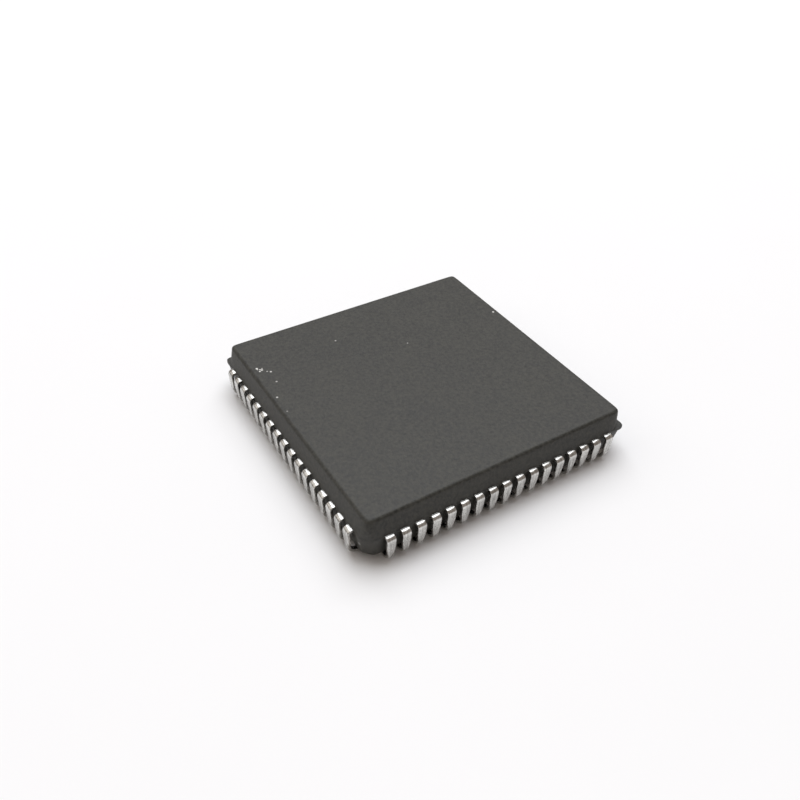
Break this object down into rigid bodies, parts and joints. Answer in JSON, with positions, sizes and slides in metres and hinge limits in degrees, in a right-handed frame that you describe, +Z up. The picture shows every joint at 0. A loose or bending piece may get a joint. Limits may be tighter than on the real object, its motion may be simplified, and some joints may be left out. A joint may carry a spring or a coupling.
{
  "type": "plcc chip",
  "caption": "Square plastic leaded chip carrier with J-shaped tin-plated leads along every side, for soldering to a board or pressing into a socket.",
  "frame": {"origin": "Centre of the seating plane, on the board under the middle of the body.", "axes": "+Z points up from the board to the top face. +X and +Y run along the sides of the body, and the one corner with no ear is at -X +Y."},
  "size_m": [0.0252, 0.0252, 0.0043],
  "materials": {
    "compound": "dark grey epoxy moulding compound with a fine matt grain",
    "tin": "satin tin plating on a copper alloy strip, with fine rolling marks",
    "copper_alloy": "bare copper alloy strip",
    "adhesive": "silver-filled epoxy",
    "silicon": "polished silicon",
    "gold": "drawn gold wire"
  },
  "bodies": {
    "root": {"body": "compound", "leads_north": "tin", "leads_west": "tin", "leads_south": "tin", "leads_east": "tin", "die_pad": "copper_alloy", "die_attach": "adhesive", "die": "silicon", "bond_wires": "gold"}
  },
  "joints": []
}
